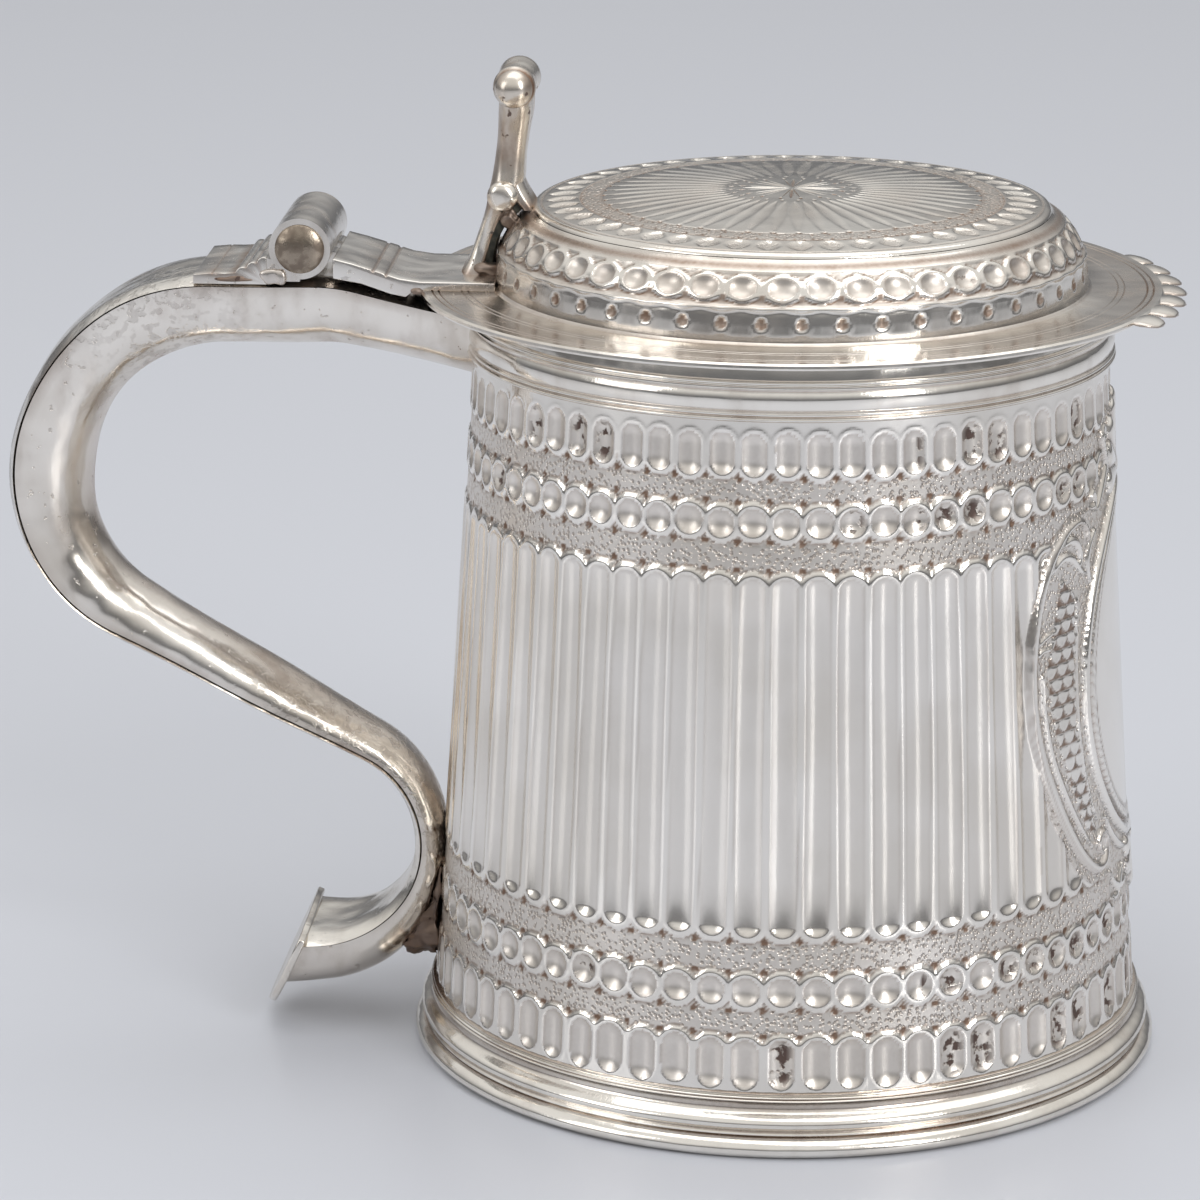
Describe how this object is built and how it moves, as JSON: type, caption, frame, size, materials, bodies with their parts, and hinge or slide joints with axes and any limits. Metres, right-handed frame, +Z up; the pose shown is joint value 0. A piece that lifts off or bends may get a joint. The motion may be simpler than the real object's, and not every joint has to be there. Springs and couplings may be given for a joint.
{
  "type": "covered silver tankard",
  "caption": "Tapered silver tankard with a hinged stepped cover, thumbpiece, finger lip, hollow scroll handle and moulded foot.",
  "frame": {"origin": "centre of the foot, on the plane the foot rests on", "axes": "+Z up along the barrel's axis; +X to the front, where the cover's finger lip is, so the handle points to -X; the hinge pin lies along Y"},
  "size_m": [0.2, 0.13, 0.1715],
  "materials": {
    "silver": "worn polished silver",
    "pin_metal": "worn, tarnished",
    "solder": "rough solder"
  },
  "bodies": {
    "vessel": {"body_barrel": "silver", "base_disc": "silver", "foot_base_wire": "silver", "foot_moulding": "silver", "foot_collar": "silver", "rim_moulding": "silver", "handle_back_strap": "silver", "handle_belly": "silver", "handle_end_plate": "silver", "lower_joint_pad": "solder", "hinge_plate": "silver", "fixed_knuckle_right": "silver", "fixed_knuckle_middle": "silver", "fixed_knuckle_left": "silver", "hinge_pin": "pin_metal", "pin_cap_right": "pin_metal", "pin_cap_left": "pin_metal"},
    "cover": {"cover_crown": "silver", "cover_bezel": "silver", "cover_flange": "silver", "cover_leaf": "silver", "cover_knuckle_right": "silver", "cover_knuckle_left": "silver", "thumbpiece": "silver"}
  },
  "joints": [
    {"name": "cover_hinge", "type": "hinge", "parent": "vessel", "child": "cover", "pos_m": [-0.0823, 0, 0.1406], "axis": [0, -1, 0], "range_deg": [0, 160]}
  ]
}
